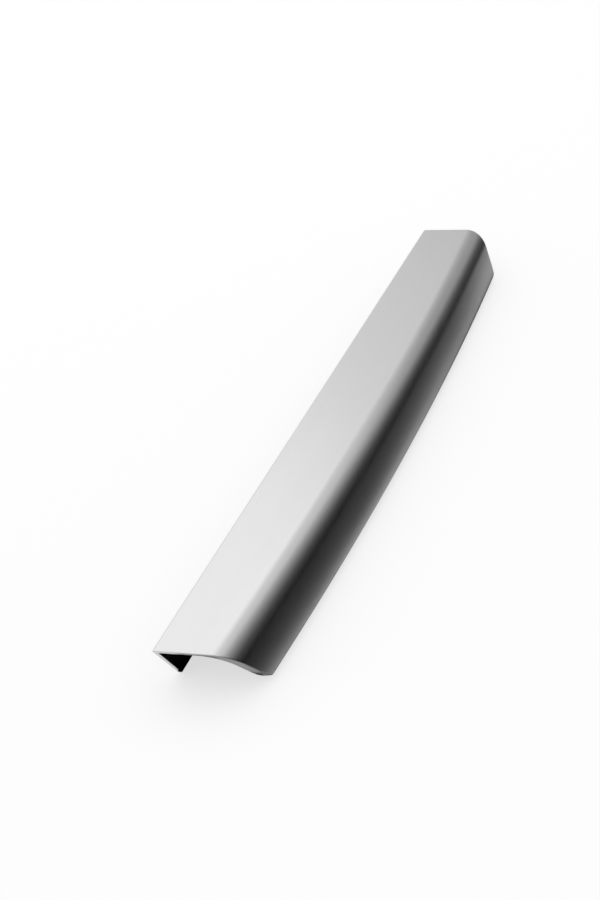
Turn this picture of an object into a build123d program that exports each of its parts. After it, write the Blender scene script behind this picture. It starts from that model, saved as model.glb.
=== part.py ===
from build123d import *
import math
import os

# Edge pull for a door or drawer front, one piece of metal, in millimetres.
# +X runs along the length, -Y is the front with the lip, +Z is up.
# The origin is at the middle of the part's box, on the level it lies on.

# Driving dimensions of the whole piece
length = 350.0              # along the top face, end to end
depth = 41.4                # back face to the lip's furthest point, at mid-length
bow = 5.3                   # how much further the lip stands out at mid-length than at the ends
end_slant = 36.8            # lean of both end cuts from upright, the top being the longest

# Top plate and the flange that sits behind the door
wall = 1.8                  # thickness of the plate and the flange
flange_drop = 20.2          # top face to the flange's lower edge
back_corner_radius = 0.8    # outside of the corner between plate and flange
inner_corner_radius = 0.5   # inside of the same corner
flange_edge_radius = 0.3    # both lower edges of the flange

# Lip, which is thicker than the plate
lip_drop = 19.4             # top face to the lip's lowest point
lip_angle = 67.2            # slope of the lip below level
lip_thickness = 4.8
lip_edge_radius = 1.2       # the two long edges along the bottom of the lip
bend_radius = 11.0          # outer bend between plate and lip
throat_radius = 11.5        # inner bend between plate and lip
lip_corner_radius = 21.0    # curve of both ends towards the lip's lower corners
lip_corner_sink = 4.1       # how far below the lip that curve would run level

# Screw holes in the flange, sunk from behind
hole_spacing = 288.0
hole_count = 2
hole_diameter = 4.2
sink_diameter = 7.0
sink_angle = 90.0
hole_drop = 11.0            # top face to the hole centres

# Room around the working shapes
join_margin = 2.0           # flat plate left beyond both ends of the lap of strip and lip
cut_margin = 10.0           # how far swept and cutting shapes run past the part

height = max(flange_drop, lip_drop)
slant = math.tan(math.radians(end_slant))
lip_sine = math.sin(math.radians(lip_angle))
lip_cosine = math.cos(math.radians(lip_angle))

# The lip follows an arc through its mid-length point and both ends.
bow_radius = ((length / 2) ** 2 + bow**2) / (2 * bow)
bow_axis = Axis((0, bow_radius - depth / 2, 0), (0, 0, 1))
sweep_angle = 2 * math.degrees(math.asin((length / 2 + cut_margin) / bow_radius))

# Cross-section at mid-length: x runs forward from the back face, y up from the top face.
section_plane = Plane(origin=(0, depth / 2, height), x_dir=(0, -1, 0), z_dir=(-1, 0, 0))

# The lip hangs from a point in the middle of its thickness, half a thickness above its tip.
half_lip = lip_thickness / 2
lip_flat = half_lip - lip_edge_radius
nose_reach = lip_edge_radius + lip_flat * (lip_sine + lip_cosine)
nose_x = depth - nose_reach
nose_y = nose_reach - lip_drop
nose_offset = lip_sine * nose_x + lip_cosine * nose_y


def lip_line(offset, y):
    """Forward distance, at height y, of the line that lies offset in front of the lip's middle."""
    return (nose_offset + offset - lip_cosine * y) / lip_sine


def lip_point(offset, reach):
    """Point that lies offset in front of the lip's middle and reach beyond the nose point."""
    return (
        nose_x + offset * lip_sine + reach * lip_cosine,
        nose_y + offset * lip_cosine - reach * lip_sine,
    )


# Where the underside stops being flat, measured at the ends of the part
throat_tangent = throat_radius * math.tan(math.radians(lip_angle / 2))
flat_end = lip_line(-half_lip, -wall) - throat_tangent - bow


def angle_strip():
    """Flange and the back of the top plate, straight along the whole length."""
    front = flat_end - join_margin
    with BuildPart() as strip:
        with BuildSketch(section_plane):
            with BuildLine():
                outline = FilletPolyline(
                    (front, 0),
                    (0, 0),
                    (0, -flange_drop),
                    (wall, -flange_drop),
                    (wall, -wall),
                    (front, -wall),
                    radius=[
                        back_corner_radius,
                        flange_edge_radius,
                        flange_edge_radius,
                        inner_corner_radius,
                    ],
                )
                Line(outline @ 1, outline @ 0)
            make_face()
        extrude(amount=length / 2, both=True)
    return strip.part


def bowed_lip():
    """Front of the top plate with its bend and lip, swung about the far axis of the bow."""
    back = wall + bow + join_margin
    with BuildSketch(section_plane) as section:
        with BuildLine():
            outline = FilletPolyline(
                (back, 0),
                (lip_line(half_lip, 0), 0),
                lip_point(half_lip, half_lip),
                lip_point(-half_lip, half_lip),
                (lip_line(-half_lip, -wall), -wall),
                (back, -wall),
                radius=[bend_radius, lip_edge_radius, lip_edge_radius, throat_radius],
            )
            Line(outline @ 1, outline @ 0)
        make_face()
    start = section.sketch.rotate(bow_axis, -sweep_angle / 2)
    return revolve(start, bow_axis, sweep_angle)


def end_envelope():
    """Space that holds the part: slanted at both ends, with the lip's lower corners rounded."""
    floor_reach = half_lip + lip_corner_sink
    front = lip_point(half_lip + cut_margin, floor_reach)
    back = lip_point(-(nose_x + cut_margin) / lip_sine, floor_reach)
    with BuildSketch(section_plane) as section:
        Polygon(front, (front[0], cut_margin), (back[0], cut_margin), back, align=None)
    start = section.sketch.rotate(bow_axis, -sweep_angle / 2)
    room = revolve(start, bow_axis, sweep_angle)

    top = length / 2 + cut_margin * slant
    bottom = length / 2 + back[1] * slant
    with BuildSketch(Plane.XZ) as ends:
        Polygon(
            (-top, height + cut_margin),
            (top, height + cut_margin),
            (bottom, height + back[1]),
            (-bottom, height + back[1]),
            align=None,
        )
    room &= extrude(ends.sketch, amount=depth + cut_margin, both=True)
    return fillet(room.edges().filter_by(GeomType.HYPERBOLA), lip_corner_radius)


def screw_holes():
    """Countersunk holes along the flange, with the heads at the back face."""
    back_face = Plane(origin=(0, depth / 2, height - hole_drop), x_dir=(1, 0, 0), z_dir=(0, 1, 0))
    hole = CounterSinkHole(hole_diameter / 2, sink_diameter / 2, 2 * wall, sink_angle)
    return [back_face * place * hole for place in GridLocations(hole_spacing, 0, hole_count, 1)]


def edge_pull():
    """The whole part as one solid."""
    body = (angle_strip() + bowed_lip()) & end_envelope()
    for hole in screw_holes():
        body -= hole
    return body


os.makedirs("parts", exist_ok=True)
export_step(edge_pull(), "parts/edge_pull.step")
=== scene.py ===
import math

import bmesh
import bpy
from mathutils import Matrix, Vector

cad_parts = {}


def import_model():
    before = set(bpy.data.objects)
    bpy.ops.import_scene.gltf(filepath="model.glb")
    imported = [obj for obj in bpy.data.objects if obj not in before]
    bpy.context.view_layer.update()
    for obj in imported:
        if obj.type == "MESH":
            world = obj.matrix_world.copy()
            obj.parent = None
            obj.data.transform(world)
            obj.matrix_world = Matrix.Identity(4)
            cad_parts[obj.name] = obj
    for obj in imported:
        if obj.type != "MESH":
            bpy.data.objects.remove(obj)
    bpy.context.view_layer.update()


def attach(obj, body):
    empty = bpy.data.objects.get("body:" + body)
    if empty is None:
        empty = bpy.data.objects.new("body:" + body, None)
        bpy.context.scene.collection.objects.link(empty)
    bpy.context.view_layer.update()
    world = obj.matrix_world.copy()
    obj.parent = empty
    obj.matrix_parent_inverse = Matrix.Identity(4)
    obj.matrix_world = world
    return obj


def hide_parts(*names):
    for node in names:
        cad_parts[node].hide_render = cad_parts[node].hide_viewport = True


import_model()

MM = 0.001

# Sizes of the part in millimetres, the same as in its solid
LENGTH = 350.0
DEPTH = 41.4
BOW = 5.3
END_SLANT = math.radians(36.8)
WALL = 1.8
FLANGE_DROP = 20.2
BACK_CORNER_RADIUS = 0.8
INNER_CORNER_RADIUS = 0.5
FLANGE_EDGE_RADIUS = 0.3
LIP_DROP = 19.4
LIP_ANGLE = math.radians(67.2)
LIP_THICKNESS = 4.8
LIP_EDGE_RADIUS = 1.2
BEND_RADIUS = 11.0
THROAT_RADIUS = 11.5
LIP_CORNER_RADIUS = 21.0
LIP_CORNER_SINK = 4.1
HOLE_SPACING = 288.0
HOLE_RADIUS = 2.1
SINK_RADIUS = 3.5
HOLE_DROP = 11.0

# Broken edges left by sanding, the cut edges less so at the thin flange
CUT_EDGE = 0.4
CUT_EDGE_SEGMENTS = 4
FLANGE_CUT_SHARE = 0.55
HOLE_EDGE = 0.12

HEIGHT = max(FLANGE_DROP, LIP_DROP)
SINE = math.sin(LIP_ANGLE)
COSINE = math.cos(LIP_ANGLE)
HALF_LIP = LIP_THICKNESS / 2
NOSE_REACH = LIP_EDGE_RADIUS + (HALF_LIP - LIP_EDGE_RADIUS) * (SINE + COSINE)
NOSE = (DEPTH - NOSE_REACH, NOSE_REACH - LIP_DROP)
NOSE_OFFSET = SINE * NOSE[0] + COSINE * NOSE[1]
BOW_RADIUS = ((LENGTH / 2) ** 2 + BOW**2) / (2 * BOW)

# How finely the surface is divided: along the part, through its thickness, round the holes,
# on the section's rounded corners, and on the straight runs between them
LENGTH_STEPS = 96
ACROSS_STEPS = 3
HOLE_SIDES = 48
ARC_STEPS = (4, 6, 32, 10)
RUN_STEPS = (8, 10, 6)

# How often the search for the end of a line along the part halves its range
HALVINGS = 50

# How far the hole cutter stands out beyond both faces of the flange
CUTTER_MARGIN = 1.0

# Edges that turn by more than this stay sharp
SHARP_ANGLE = math.radians(40)


def add_object(name, data):
    """Object of the given mesh, lamp or camera, put into the scene."""
    made = bpy.data.objects.new(name, data)
    bpy.context.scene.collection.objects.link(made)
    return made


def mesh_from(bm, name):
    """Mesh of the given name made from bm, which is used up."""
    mesh = bpy.data.meshes.new(name)
    bm.to_mesh(mesh)
    bm.free()
    return mesh


def smooth_mesh_from(bm, name):
    """The same for a closed form, with its faces turned outwards and shaded smooth."""
    bmesh.ops.recalc_face_normals(bm, faces=bm.faces)
    for face in bm.faces:
        face.smooth = True
    return mesh_from(bm, name)


def lip_line(offset, v):
    """Forward distance, at height v, of the line that lies offset in front of the lip's middle."""
    return (NOSE_OFFSET + offset - COSINE * v) / SINE


def lip_point(offset, reach):
    """Section point that lies offset in front of the lip's middle and reach beyond the nose point."""
    return (NOSE[0] + offset * SINE + reach * COSINE, NOSE[1] + offset * COSINE - reach * SINE)


def rounded_corner(before, corner, after, radius, steps):
    """Points of the arc that rounds a corner of a section line."""
    corner = Vector(corner)
    back = (Vector(before) - corner).normalized()
    ahead = (Vector(after) - corner).normalized()
    half_turn = back.angle(ahead) / 2
    centre = corner + (back + ahead).normalized() * (radius / math.sin(half_turn))
    start = corner + back * (radius / math.tan(half_turn))
    end = corner + ahead * (radius / math.tan(half_turn))
    first, last = start - centre, end - centre
    sweep = first.angle(last)
    points = []
    for k in range(steps + 1):
        a = sweep * k / steps
        mixed = (first * math.sin(sweep - a) + last * math.sin(a)) / math.sin(sweep)
        points.append(centre + mixed)
    return points


def side_line(corners, radii):
    """Rounded section line through the corners, with its straight runs divided too."""
    line = []
    for k in range(1, len(corners) - 1):
        arc = rounded_corner(corners[k - 1], corners[k], corners[k + 1], radii[k - 1], ARC_STEPS[k - 1])
        if line:
            start = line[-1]
            for j in range(1, RUN_STEPS[k - 2]):
                line.append(start.lerp(arc[0], j / RUN_STEPS[k - 2]))
        line.extend(arc)
    return line


def with_bow_shares(line):
    """Points (u, v, share) of a section line.

    The share says how much of the bow a point takes part in: none at the flange, all at the lip,
    and in between on the flat top plate.
    """
    first = ARC_STEPS[0] + RUN_STEPS[0] + ARC_STEPS[1]
    last = first + RUN_STEPS[1]
    start, end = line[first][0], line[last][0]
    shares = [0.0] * (first + 1)
    shares += [(u - start) / (end - start) for u, v in line[first + 1:last]]
    shares += [1.0] * (len(line) - last)
    return [(u, v, share) for (u, v), share in zip(line, shares)]


def sections():
    """The outer and the inner line of the section, as pairs of points that face each other."""
    outer = side_line(
        [(WALL, -FLANGE_DROP), (0, -FLANGE_DROP), (0, 0), (lip_line(HALF_LIP, 0), 0),
         lip_point(HALF_LIP, HALF_LIP), lip_point(-HALF_LIP, HALF_LIP)],
        [FLANGE_EDGE_RADIUS, BACK_CORNER_RADIUS, BEND_RADIUS, LIP_EDGE_RADIUS],
    )
    inner = side_line(
        [(0, -FLANGE_DROP), (WALL, -FLANGE_DROP), (WALL, -WALL), (lip_line(-HALF_LIP, -WALL), -WALL),
         lip_point(-HALF_LIP, HALF_LIP), lip_point(HALF_LIP, HALF_LIP)],
        [FLANGE_EDGE_RADIUS, INNER_CORNER_RADIUS, THROAT_RADIUS, LIP_EDGE_RADIUS],
    )
    return with_bow_shares(outer), with_bow_shares(inner)


def place(x, u, v, share):
    """Position in the part's frame of the section point (u, v), carried along to x."""
    radius = BOW_RADIUS - DEPTH + u
    y = DEPTH / 2 - u + share * (radius - math.sqrt(radius**2 - x**2))
    return x, y, HEIGHT + v


def inside_ends(x, u, v, share):
    """True where the point lies within the end cut and the rounding of the lip's lower corner."""
    y = place(x, u, v, share)[1]
    end_room = (LENGTH / 2 + math.tan(END_SLANT) * v - x) * math.cos(END_SLANT)
    if end_room < 0:
        return False
    axis_y = BOW_RADIUS - DEPTH / 2
    reach = math.hypot(x, axis_y - y)
    forward = reach - BOW_RADIUS + DEPTH
    floor_reach = HALF_LIP + LIP_CORNER_SINK
    floor_room = floor_reach - (forward - NOSE[0]) * COSINE + (v - NOSE[1]) * SINE
    if floor_room < 0:
        return False
    a = LIP_CORNER_RADIUS - floor_room
    b = LIP_CORNER_RADIUS - end_room
    floor_normal = Vector((COSINE * x / reach, COSINE * (y - axis_y) / reach, -SINE))
    end_normal = Vector((math.cos(END_SLANT), 0, -math.sin(END_SLANT)))
    c = floor_normal.dot(end_normal)
    if a - b * c <= 0 or b - a * c <= 0:
        return True
    return (a * a + b * b - 2 * a * b * c) / (1 - c * c) <= LIP_CORNER_RADIUS**2


def end_of(u, v, share):
    """Half the part's length along the section point (u, v)."""
    low, high = LENGTH / 4, LENGTH / 2
    for _ in range(HALVINGS):
        middle = (low + high) / 2
        if inside_ends(middle, u, v, share):
            low = middle
        else:
            high = middle
    return low


def column(bm, point, steps):
    """Vertices along the length for one section point, from the near end to the far one."""
    half = end_of(*point)
    stations = [half * (2 * k / steps - 1) for k in range(steps + 1)]
    return [bm.verts.new([c * MM for c in place(x, *point)]) for x in stations]


def section_net(bm, outer, inner):
    """For each pair of facing points, the columns from the outer to the inner one.

    Columns within the thickness have vertices at the two ends alone, for the cut faces.
    """
    net = []
    for index, pair in enumerate(zip(outer, inner)):
        tip = index in (0, len(outer) - 1)
        rib = []
        for k in range(ACROSS_STEPS + 1):
            point = [a + (b - a) * k / ACROSS_STEPS for a, b in zip(*pair)]
            on_skin = tip or k in (0, ACROSS_STEPS)
            rib.append(column(bm, point, LENGTH_STEPS if on_skin else 1))
        net.append(rib)
    return net


def long_faces(bm, around, grain):
    """Faces along the part between each column and the next, with the grain along x."""
    middle = LENGTH_STEPS // 2
    travelled = 0.0
    for a, b in zip(around, around[1:]):
        width = (a[middle].co - b[middle].co).length
        for k in range(LENGTH_STEPS):
            face = bm.faces.new((a[k], a[k + 1], b[k + 1], b[k]))
            for loop, shift in zip(face.loops, (0, 0, width, width)):
                loop[grain].uv = (travelled + shift, loop.vert.co.x)
        travelled += width


def end_faces(bm, net, side, grain):
    """Faces of one cut end: side is 0 at the near end and -1 at the far one."""
    for rib, following in zip(net, net[1:]):
        for k in range(ACROSS_STEPS):
            corners = (rib[k], following[k], following[k + 1], rib[k + 1])
            face = bm.faces.new([corner[side] for corner in corners])
            for loop in face.loops:
                loop[grain].uv = (loop.vert.co.y, loop.vert.co.z)


def pull_mesh():
    """The part's surface as a regular net of four-sided faces."""
    bm = bmesh.new()
    weights = bm.edges.layers.float.new("bevel_weight_edge")
    grain = bm.loops.layers.uv.new("grain")
    outer, inner = sections()
    net = section_net(bm, outer, inner)
    last = len(net) - 1
    order = [(i, 0) for i in range(last + 1)]
    order += [(last, k) for k in range(1, ACROSS_STEPS)]
    order += [(i, ACROSS_STEPS) for i in range(last, -1, -1)]
    order += [(0, k) for k in range(ACROSS_STEPS - 1, -1, -1)]
    around = [net[i][k] for i, k in order]
    long_faces(bm, around, grain)
    for side in (0, -1):
        end_faces(bm, net, side, grain)
        for (i, _), a, b in zip(order, around, around[1:]):
            share = outer[i][2]
            bm.edges.get((a[side], b[side]))[weights] = FLANGE_CUT_SHARE + (1 - FLANGE_CUT_SHARE) * share
    return smooth_mesh_from(bm, "edge_pull_surface")


def hole_ring(bm, centre, inward, radius):
    """Vertices round a hole's axis, or the one on the axis where the radius is 0."""
    angles = [2 * math.pi * k / HOLE_SIDES for k in range(HOLE_SIDES if radius else 1)]
    spots = [Vector((radius * math.cos(a), -inward, radius * math.sin(a))) for a in angles]
    return [bm.verts.new((centre + spot) * MM) for spot in spots]


def hole_cutter():
    """Both countersunk screw holes as closed turned forms, their axes across the flange."""
    sink_depth = SINK_RADIUS - HOLE_RADIUS
    flared_radius = HOLE_RADIUS + 2 * HOLE_EDGE
    profile = [
        (-CUTTER_MARGIN, 0.0), (-CUTTER_MARGIN, SINK_RADIUS), (0.0, SINK_RADIUS),
        (sink_depth, HOLE_RADIUS), (WALL - HOLE_EDGE, HOLE_RADIUS), (WALL + HOLE_EDGE, flared_radius),
        (WALL + CUTTER_MARGIN, flared_radius), (WALL + CUTTER_MARGIN, 0.0),
    ]
    bm = bmesh.new()
    for side in (-1, 1):
        centre = Vector((side * HOLE_SPACING / 2, DEPTH / 2, HEIGHT - HOLE_DROP))
        rings = [hole_ring(bm, centre, inward, radius) for inward, radius in profile]
        for a, b in zip(rings, rings[1:]):
            for k in range(HOLE_SIDES):
                corners = [a[k % len(a)], a[(k + 1) % len(a)], b[(k + 1) % len(b)], b[k % len(b)]]
                bm.faces.new(list(dict.fromkeys(corners)))
    return add_object("hole_cutter", smooth_mesh_from(bm, "hole_cutter"))


def finish_surface(thing):
    """Breaks the cut edges, drills the holes, and keeps the result as the plain mesh."""
    softened = thing.modifiers.new("broken edges", "BEVEL")
    softened.limit_method = "WEIGHT"
    softened.width = CUT_EDGE * MM
    softened.segments = CUT_EDGE_SEGMENTS
    softened.use_clamp_overlap = False
    softened.loop_slide = False
    drilled = thing.modifiers.new("screw holes", "BOOLEAN")
    drilled.operation = "DIFFERENCE"
    drilled.solver = "EXACT"
    cutter = hole_cutter()
    drilled.object = cutter
    bpy.context.view_layer.update()
    whole = thing.evaluated_get(bpy.context.evaluated_depsgraph_get())
    mesh = bpy.data.meshes.new_from_object(whole)
    thing.modifiers.clear()
    thing.data = mesh
    bpy.data.objects.remove(cutter)
    mesh.set_sharp_from_angle(angle=SHARP_ANGLE)
    level = thing.modifiers.new("flat faces stay flat", "WEIGHTED_NORMAL")
    level.keep_sharp = True


# Satin metal: the greys and the roughness between which the noise varies, how often the grain and
# the broader clouds repeat in a metre across the part and along it, and the depth of the grain
METAL_GREYS = (0.55, 0.59)
METAL_GREY_STOPS = (0.25, 0.75)
METAL_ROUGHNESS = (0.28, 0.3)
METAL_ANISOTROPY = 0.35
CLOUD_SPREAD = (0.3, 0.7)
CLOUD_SCALE = (70.0, 9.0, 1.0)
GRAIN_SCALE = (5200.0, 60.0, 1.0)
GRAIN_DEPTH = 0.04 * MM
GRAIN_STRENGTH = 0.06


def node(tree, kind, **values):
    """A shader node with the given properties and input values."""
    made = tree.nodes.new(kind)
    for name, value in values.items():
        if name in made.inputs:
            made.inputs[name].default_value = value
        else:
            setattr(made, name, value)
    return made


def grey_colour(grey):
    """Colour of the given grey, opaque."""
    return (grey, grey, grey, 1)


def stretched_noise(tree, grain_map, scale, detail, roughness):
    """Noise on the grain map, stretched by the given scale."""
    stretch = node(tree, "ShaderNodeMapping", vector_type="POINT")
    stretch.inputs["Scale"].default_value = scale
    tree.links.new(grain_map.outputs["UV"], stretch.inputs["Vector"])
    noise = node(tree, "ShaderNodeTexNoise", Scale=1.0, Detail=detail, Roughness=roughness)
    tree.links.new(stretch.outputs["Vector"], noise.inputs["Vector"])
    return noise.outputs["Fac"]


def satin_metal():
    """Grey metal with a fine satin grain along the length."""
    material = bpy.data.materials.new("satin_metal")
    material.use_nodes = True
    tree = material.node_tree
    link = tree.links.new
    shader = tree.nodes["Principled BSDF"]
    shader.inputs["Metallic"].default_value = 1.0
    shader.inputs["Anisotropic"].default_value = METAL_ANISOTROPY

    grain_map = node(tree, "ShaderNodeUVMap", uv_map="grain")
    grain = stretched_noise(tree, grain_map, GRAIN_SCALE, detail=3.0, roughness=0.6)
    clouds = stretched_noise(tree, grain_map, CLOUD_SCALE, detail=2.0, roughness=0.5)

    tone = node(tree, "ShaderNodeValToRGB")
    for stop, spot, grey in zip(tone.color_ramp.elements, METAL_GREY_STOPS, METAL_GREYS):
        stop.position = spot
        stop.color = grey_colour(grey)
    link(grain, tone.inputs["Fac"])
    link(tone.outputs["Color"], shader.inputs["Base Color"])

    gloss = node(tree, "ShaderNodeMapRange")
    for ends, values in (("From", CLOUD_SPREAD), ("To", METAL_ROUGHNESS)):
        for end, value in zip(("Min", "Max"), values):
            gloss.inputs[f"{ends} {end}"].default_value = value
    link(clouds, gloss.inputs["Value"])
    link(gloss.outputs["Result"], shader.inputs["Roughness"])

    relief = node(tree, "ShaderNodeBump", Strength=GRAIN_STRENGTH, Distance=GRAIN_DEPTH)
    link(grain, relief.inputs["Height"])
    link(relief.outputs["Normal"], shader.inputs["Normal"])

    tangent = node(tree, "ShaderNodeTangent", direction_type="UV_MAP", uv_map="grain")
    link(tangent.outputs["Tangent"], shader.inputs["Tangent"])
    return material


pull = add_object("edge_pull_metal", pull_mesh())
finish_surface(pull)
pull.data.materials.clear()
pull.data.materials.append(satin_metal())
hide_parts("edge_pull")
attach(pull, "root")

# Camera: focal length, sensor width and place, and in degrees its roll and the azimuth and
# elevation that it looks from
CAMERA_LENS = 78.64
CAMERA_SENSOR = 36.0
CAMERA_PLACE = Vector((-667.65, -265.10, 398.52)) * MM
CAMERA_AZIMUTH = 203.787
CAMERA_ELEVATION = 28.772
CAMERA_ROLL = -10.168

# Stage in metres, with greys and strengths in shares of full white
FLOOR_REACH = 4.0
FLOOR_GREY = 0.35
FLOOR_ROUGHNESS = 0.9
FLOOR_LIFT = 0.64
WORLD_LIGHT = 0.95
WORLD_SEEN = 1.0

# Radius of the cards that arch over the part, the height of one layer of those above the floor,
# and the two ends of the strips that lie beside the lip. The cards are glowing or dark sheets seen
# only in the metal's reflections: painted reflections and painted shade
ARCH_RADIUS = 0.8
LAYER = 0.0001
STRIPS_START = -0.185
STRIPS_END = 0.6


def direction(azimuth, elevation):
    """Unit vector, with azimuth counted from +X towards +Y."""
    a, e = math.radians(azimuth), math.radians(elevation)
    return Vector((math.cos(a) * math.cos(e), math.sin(a) * math.cos(e), math.sin(e)))


def camera():
    """Camera at the photograph's viewing angle."""
    data = bpy.data.cameras.new("camera")
    data.lens = CAMERA_LENS
    data.sensor_width = CAMERA_SENSOR
    cam = add_object("camera", data)
    facing = direction(CAMERA_AZIMUTH, CAMERA_ELEVATION).to_track_quat("Z", "Y").to_matrix().to_4x4()
    roll = Matrix.Rotation(math.radians(CAMERA_ROLL), 4, "Z")
    cam.matrix_world = Matrix.Translation(CAMERA_PLACE) @ facing @ roll
    bpy.context.scene.camera = cam


def seen_or_mirrored(tree):
    """1 for rays from the camera and for mirrored or refracted ones, 0 for light on surfaces."""
    path = node(tree, "ShaderNodeLightPath")
    total = path.outputs["Is Camera Ray"]
    for name in ("Is Glossy Ray", "Is Transmission Ray"):
        add = node(tree, "ShaderNodeMath", operation="MAXIMUM")
        tree.links.new(total, add.inputs[0])
        tree.links.new(path.outputs[name], add.inputs[1])
        total = add.outputs[0]
    return total


def world():
    """Even white surroundings, at full strength only where they are seen or mirrored."""
    made = bpy.data.worlds.new("studio")
    made.use_nodes = True
    bpy.context.scene.world = made
    tree = made.node_tree
    strength = node(tree, "ShaderNodeMapRange")
    strength.inputs["To Min"].default_value = WORLD_LIGHT
    strength.inputs["To Max"].default_value = WORLD_SEEN
    tree.links.new(seen_or_mirrored(tree), strength.inputs["Value"])
    tree.links.new(strength.outputs["Result"], tree.nodes["Background"].inputs["Strength"])
    tree.nodes["Background"].inputs["Color"].default_value = (1, 1, 1, 1)


def pale_floor():
    """Matt floor, lifted to white only where it is seen or mirrored, so that its shadow stays."""
    material = bpy.data.materials.new("pale_floor")
    material.use_nodes = True
    tree = material.node_tree
    shader = tree.nodes["Principled BSDF"]
    shader.inputs["Base Color"].default_value = grey_colour(FLOOR_GREY)
    shader.inputs["Roughness"].default_value = FLOOR_ROUGHNESS
    shader.inputs["Specular IOR Level"].default_value = 0.0
    shader.inputs["Emission Color"].default_value = (1, 1, 1, 1)
    lift = node(tree, "ShaderNodeMath", operation="MULTIPLY")
    lift.inputs[1].default_value = FLOOR_LIFT
    tree.links.new(seen_or_mirrored(tree), lift.inputs[0])
    tree.links.new(lift.outputs[0], shader.inputs["Emission Strength"])
    return material


def floor():
    """Pale floor that the part lies on."""
    mesh = bpy.data.meshes.new("floor")
    corners = [(a * FLOOR_REACH, b * FLOOR_REACH, 0) for a, b in ((-1, -1), (1, -1), (1, 1), (-1, 1))]
    mesh.from_pydata(corners, [], [(0, 1, 2, 3)])
    sheet = add_object("floor", mesh)
    mesh.materials.append(pale_floor())


def softbox(name, azimuth, elevation, distance, width, height, radiance):
    """Rectangular soft light that faces the part."""
    light = bpy.data.lights.new(name, "AREA")
    light.shape = "RECTANGLE"
    light.size, light.size_y = width, height
    light.energy = radiance * math.pi * width * height
    lamp = add_object(name, light)
    towards = direction(azimuth, elevation)
    lamp.location = towards * distance
    lamp.rotation_mode = "QUATERNION"
    lamp.rotation_quaternion = towards.to_track_quat("Z", "Y")


def mirrored_only(sheet):
    """Leaves the sheet to mirrored light, out of the picture and without a shadow, so that it only
    paints reflections and shade onto the metal.
    """
    sheet.visible_camera = False
    sheet.visible_diffuse = False
    sheet.visible_shadow = False
    sheet.visible_transmission = False
    sheet.visible_volume_scatter = False


def card_material(name, shades, axis):
    """Glow with the given greys from the card's first edge to its last, as pairs of place and grey; on
    the metal this is painted reflection, and painted shade where the grey is black.
    """
    material = bpy.data.materials.new(name)
    material.use_nodes = True
    tree = material.node_tree
    tree.nodes.remove(tree.nodes["Principled BSDF"])
    where = node(tree, "ShaderNodeUVMap", uv_map="span")
    split = node(tree, "ShaderNodeSeparateXYZ")
    ramp = node(tree, "ShaderNodeValToRGB")
    ramp.color_ramp.interpolation = "EASE"
    first, last = ramp.color_ramp.elements
    first.position, last.position = shades[0][0], shades[-1][0]
    first.color, last.color = grey_colour(shades[0][1]), grey_colour(shades[-1][1])
    for spot, grey in shades[1:-1]:
        ramp.color_ramp.elements.new(spot).color = grey_colour(grey)
    glow = node(tree, "ShaderNodeEmission", Strength=1.0)
    tree.links.new(where.outputs["UV"], split.inputs[0])
    tree.links.new(split.outputs[axis], ramp.inputs["Fac"])
    tree.links.new(ramp.outputs["Color"], glow.inputs["Color"])
    tree.links.new(glow.outputs[0], tree.nodes["Material Output"].inputs["Surface"])
    return material


def card(name, stations, line, shades, axis="Y"):
    """Card through the (y, z) points that line gives for each x of the stations: a sheet seen only as
    painted reflection or painted shade on the metal.

    Its greys run along that line, or along x where the axis is X.
    """
    bm = bmesh.new()
    span = bm.loops.layers.uv.new("span")
    columns = [[bm.verts.new((x, y, z)) for y, z in line(x)] for x in stations]
    rises = len(columns[0]) - 1
    reach = stations[-1] - stations[0]
    for k in range(len(stations) - 1):
        for j in range(rises):
            corners = ((k, j), (k + 1, j), (k + 1, j + 1), (k, j + 1))
            face = bm.faces.new([columns[a][b] for a, b in corners])
            for loop, (a, b) in zip(face.loops, corners):
                loop[span].uv = ((stations[a] - stations[0]) / reach, b / rises)
    made = add_object(name, mesh_from(bm, name))
    made.data.materials.append(card_material(name, shades, axis))
    mirrored_only(made)


def arch(first, last, steps):
    """Line of (y, z) points on an arc over the part, its angles counted up from the front."""
    angles = [math.radians(first + (last - first) * k / steps) for k in range(steps + 1)]
    points = [(-ARCH_RADIUS * math.cos(a), ARCH_RADIUS * math.sin(a)) for a in angles]
    return lambda x: points


def beside_lip(near, far, layer):
    """Line of two (y, z) points above the floor, near and far in front of the lip's bowed outline."""
    def line(x):
        foot = (BOW_RADIUS - DEPTH / 2 - math.sqrt(BOW_RADIUS**2 - (x / MM) ** 2)) * MM
        return [(foot - near, layer * LAYER), (foot - far, layer * LAYER)]
    return line


def level(start, end, layer):
    """Line of two (y, z) points straight across the floor."""
    return lambda x: [(start, layer * LAYER), (end, layer * LAYER)]


def steps_between(first, last, count):
    """Evenly spaced stations, both ends included."""
    return [first + (last - first) * k / count for k in range(count + 1)]


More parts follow.
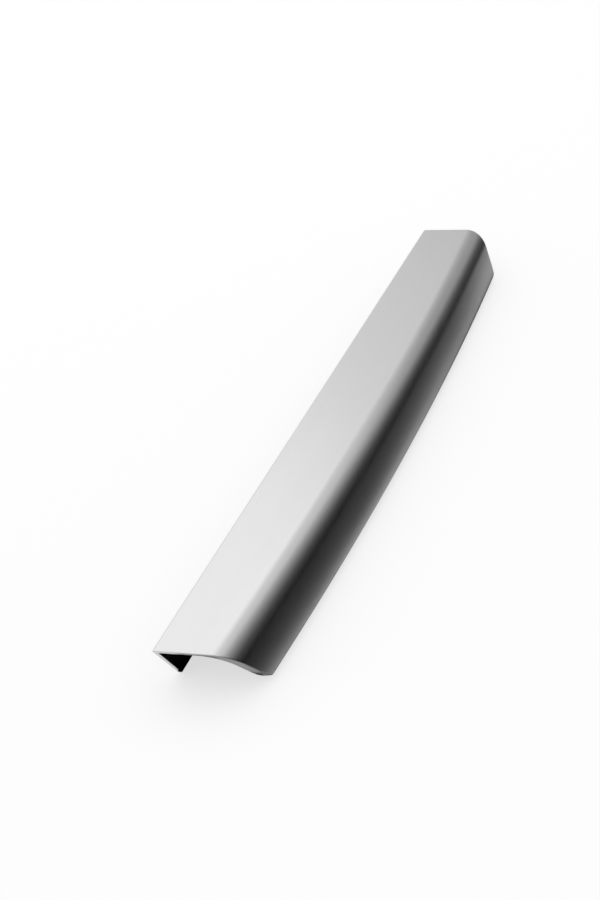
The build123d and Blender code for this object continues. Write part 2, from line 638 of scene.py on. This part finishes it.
def arched_cards():
    """Cards over the part that paint the metal's reflections darker than the white surroundings: painted
    shade, black in front and lighter grey towards the top and behind.

    Each runs from a near end of its own to the floor's far edge.
    """
    # Greys of the sweep card from the front up to the top: painted shade in the metal's reflections,
    # black low in front
    rising = [(0.0, 0.0), (0.15, 0.0), (0.3, 0.05), (0.45, 0.05),
              (0.6, 0.2), (0.75, 0.3), (0.9, 0.6), (1.0, 0.4)]
    card("sweep_card", [-2.0, FLOOR_REACH], arch(0, 72, steps=36), rising)
    # Grey cards over the top and behind: painted shade, a dimmer reflection than the white surroundings
    card("upper_card", [1.1, FLOOR_REACH], arch(72, 108, steps=18), [(0.0, 0.4), (1.0, 0.6)])
    card("back_card", [1.65, FLOOR_REACH], arch(108, 170, steps=30), [(0.0, 0.6), (1.0, 0.6)])


def lip_cards():
    """Strips above the floor that follow the lip's outline, with their greys along x: painted shade and
    painted reflections on the lip's front and nose.
    """
    # Dark strip along the lip's foot: painted shade, the contact shadow seen in the reflection of the
    # lip's rounded nose
    card("contact_card", steps_between(-0.163, 0.165, count=24),
         beside_lip(near=-0.006, far=0.003, layer=3), [(0.0, 0.3), (1.0, 0.0)])
    # Strips that glow, some brighter than white, and black ones: painted highlights and painted shade on
    # the lip's front face
    places = (0.0, 0.05, 0.2, 0.4, 0.6, 1.0)
    for name, near, far, greys in (
        ("near_strip_card", 0.003, 0.010, (0.1, 0.6, 0.8, 0.0, 0.0, 0.0)),
        ("middle_strip_card", 0.010, 0.016, (0.1, 1.0, 0.8, 1.2, 0.5, 0.5)),
        ("outer_strip_card", 0.016, 0.030, (0.0, 0.0, 0.0, 0.2, 1.5, 1.5)),
        ("front_floor_card", 0.030, ARCH_RADIUS, (0.0, 0.0, 0.0, 0.0, 0.0, 0.3)),
    ):
        card(name, steps_between(STRIPS_START, STRIPS_END, count=34),
             beside_lip(near, far, layer=4), list(zip(places, greys)), axis="X")


def floor_cards():
    """Plain cards above the floor: before, under and at the ends of the part, each of one grey: the
    black ones paint shade into the metal's reflections, the grey one at the near end a painted
    reflection.
    """
    for name, x_start, x_end, y_start, y_end, layer, grey in (
        # Black sheets before, under and beside the part: painted shade seen in the metal, dark as the
        # shade under and around it
        ("far_floor_card", STRIPS_END, FLOOR_REACH, -0.03, -ARCH_RADIUS, 6, 0.0),
        ("near_floor_card", -0.6, STRIPS_START, -0.012, -ARCH_RADIUS, 4, 0.0),
        ("near_corner_card", STRIPS_START, -0.163, -0.013, -0.019, 5, 0.0),
        ("under_card", -0.168, 0.168, 0.0205, 0.005, 4, 0.0),
        ("throat_card", -0.162, 0.163, 0.005, -0.012, 4, 0.0),
        ("far_end_card", 0.182, 0.6, 0.15, 0.01, 5, 0.0),
        # Glowing grey card under the near end: a painted reflection that lightens the near cut face
        ("near_end_card", -0.19, -0.162, 0.005, -0.013, 5, 0.42),
    ):
        card(name, [x_start, x_end], level(y_start, y_end, layer), [(0.0, grey), (1.0, grey)])


camera()
world()
floor()
softbox("back_softbox", azimuth=45, elevation=45, distance=1.0, width=0.7, height=0.6, radiance=0.55)
arched_cards()
lip_cards()
floor_cards()
bpy.context.scene.view_settings.view_transform = "Standard"
